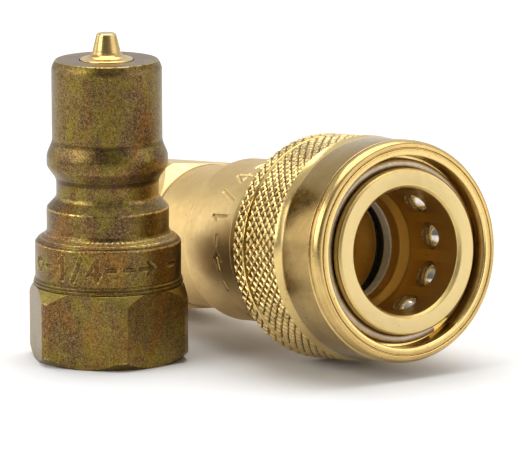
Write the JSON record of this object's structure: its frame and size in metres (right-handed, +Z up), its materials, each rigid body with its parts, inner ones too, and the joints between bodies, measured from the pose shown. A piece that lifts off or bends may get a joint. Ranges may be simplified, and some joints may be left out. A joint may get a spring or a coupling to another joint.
{
  "type": "quick disconnect coupler",
  "caption": "Ball-lock fluid coupler in two separate halves: a valved socket with a knurled locking sleeve lying on its side, and its valved nipple standing on end.",
  "frame": {"origin": "on the floor under the middle of the set's bounding box", "axes": "+Z up; +X horizontal, along the way the lying socket's mouth points; +Y completes the right-handed frame, away from the nipple"},
  "size_m": [0.064, 0.0481, 0.0422],
  "materials": {
    "socket_brass": "satin turned brass with a warm beige tone",
    "sleeve_brass": "polished brass, diamond knurl",
    "aged_brass": "olive-brown mottled passivated brass",
    "valve_brass": "polished brass",
    "ball_steel": "polished bearing steel",
    "spring_steel": "drawn wire",
    "seal_rubber": "moulded black rubber",
    "backup_plastic": "dull off-white plastic"
  },
  "bodies": {
    "socket": {"socket_body": "socket_brass", "rear_adapter": "socket_brass", "adapter_oring": "seal_rubber", "sleeve_spring": "spring_steel", "sleeve_retaining_ring": "spring_steel", "bore_oring": "seal_rubber", "backup_ring": "backup_plastic", "socket_valve_spring": "spring_steel", "socket_valve_guide": "valve_brass"},
    "sleeve": {"locking_sleeve": "sleeve_brass"},
    "socket_valve": {"socket_poppet": "valve_brass", "socket_poppet_seal": "seal_rubber"},
    "nipple": {"nipple_body": "aged_brass", "nipple_valve_spring": "spring_steel", "nipple_valve_guide": "valve_brass", "nipple_guide_retaining_ring": "spring_steel"},
    "nipple_valve": {"nipple_poppet": "valve_brass", "nipple_poppet_seal": "seal_rubber"},
    "ball_01": {"locking_ball_01": "ball_steel"},
    "ball_02": {"locking_ball_02": "ball_steel"},
    "ball_03": {"locking_ball_03": "ball_steel"},
    "ball_04": {"locking_ball_04": "ball_steel"},
    "ball_05": {"locking_ball_05": "ball_steel"},
    "ball_06": {"locking_ball_06": "ball_steel"},
    "ball_07": {"locking_ball_07": "ball_steel"},
    "ball_08": {"locking_ball_08": "ball_steel"},
    "ball_09": {"locking_ball_09": "ball_steel"},
    "ball_10": {"locking_ball_10": "ball_steel"}
  },
  "joints": [
    {"name": "sleeve_slide", "type": "slide", "parent": "socket", "child": "sleeve", "axis": [-0.9945, 0, -0.1048], "range_m": [0, 0.0055], "stiffness_N_per_m": 800, "springref_m": -0.003, "deforming": ["sleeve_spring"]},
    {"name": "ball_01_lift", "type": "slide", "parent": "socket", "child": "ball_01", "axis": [-0.1026, 0.2028, 0.9738], "range_m": [0, 0.000749]},
    {"name": "ball_02_lift", "type": "slide", "parent": "socket", "child": "ball_02", "axis": [-0.0705, 0.7396, 0.6693], "range_m": [0, 0.000749]},
    {"name": "ball_03_lift", "type": "slide", "parent": "socket", "child": "ball_03", "axis": [-0.0115, 0.994, 0.1091], "range_m": [0, 0.000749]},
    {"name": "ball_04_lift", "type": "slide", "parent": "socket", "child": "ball_04", "axis": [0.0519, 0.8686, -0.4927], "range_m": [0, 0.000749]},
    {"name": "ball_05_lift", "type": "slide", "parent": "socket", "child": "ball_05", "axis": [0.0955, 0.4115, -0.9064], "range_m": [0, 0.000749]},
    {"name": "ball_06_lift", "type": "slide", "parent": "socket", "child": "ball_06", "axis": [0.1026, -0.2028, -0.9738], "range_m": [0, 0.000749]},
    {"name": "ball_07_lift", "type": "slide", "parent": "socket", "child": "ball_07", "axis": [0.0705, -0.7396, -0.6693], "range_m": [0, 0.000749]},
    {"name": "ball_08_lift", "type": "slide", "parent": "socket", "child": "ball_08", "axis": [0.0115, -0.994, -0.1091], "range_m": [0, 0.000749]},
    {"name": "ball_09_lift", "type": "slide", "parent": "socket", "child": "ball_09", "axis": [-0.0519, -0.8686, 0.4927], "range_m": [0, 0.000749]},
    {"name": "ball_10_lift", "type": "slide", "parent": "socket", "child": "ball_10", "axis": [-0.0955, -0.4115, 0.9064], "range_m": [0, 0.000749]},
    {"name": "socket_valve_push", "type": "slide", "parent": "socket", "child": "socket_valve", "axis": [-0.9945, 0, -0.1048], "range_m": [0, 0.0033], "stiffness_N_per_m": 200, "springref_m": -0.001, "deforming": ["socket_valve_spring"]},
    {"name": "nipple_lift_off", "type": "slide", "parent": "socket", "child": "nipple", "axis": [0, 0, 1], "range_m": [0, 0.06]},
    {"name": "nipple_valve_push", "type": "slide", "parent": "nipple", "child": "nipple_valve", "axis": [0, 0, -1], "range_m": [0, 0.0033], "stiffness_N_per_m": 200, "springref_m": -0.001, "deforming": ["nipple_valve_spring"]}
  ],
  "couplings": [
    {"joint": "ball_01_lift", "follows": "sleeve_slide", "ratio": 0.136},
    {"joint": "ball_02_lift", "follows": "sleeve_slide", "ratio": 0.136},
    {"joint": "ball_03_lift", "follows": "sleeve_slide", "ratio": 0.136},
    {"joint": "ball_04_lift", "follows": "sleeve_slide", "ratio": 0.136},
    {"joint": "ball_05_lift", "follows": "sleeve_slide", "ratio": 0.136},
    {"joint": "ball_06_lift", "follows": "sleeve_slide", "ratio": 0.136},
    {"joint": "ball_07_lift", "follows": "sleeve_slide", "ratio": 0.136},
    {"joint": "ball_08_lift", "follows": "sleeve_slide", "ratio": 0.136},
    {"joint": "ball_09_lift", "follows": "sleeve_slide", "ratio": 0.136},
    {"joint": "ball_10_lift", "follows": "sleeve_slide", "ratio": 0.136}
  ]
}
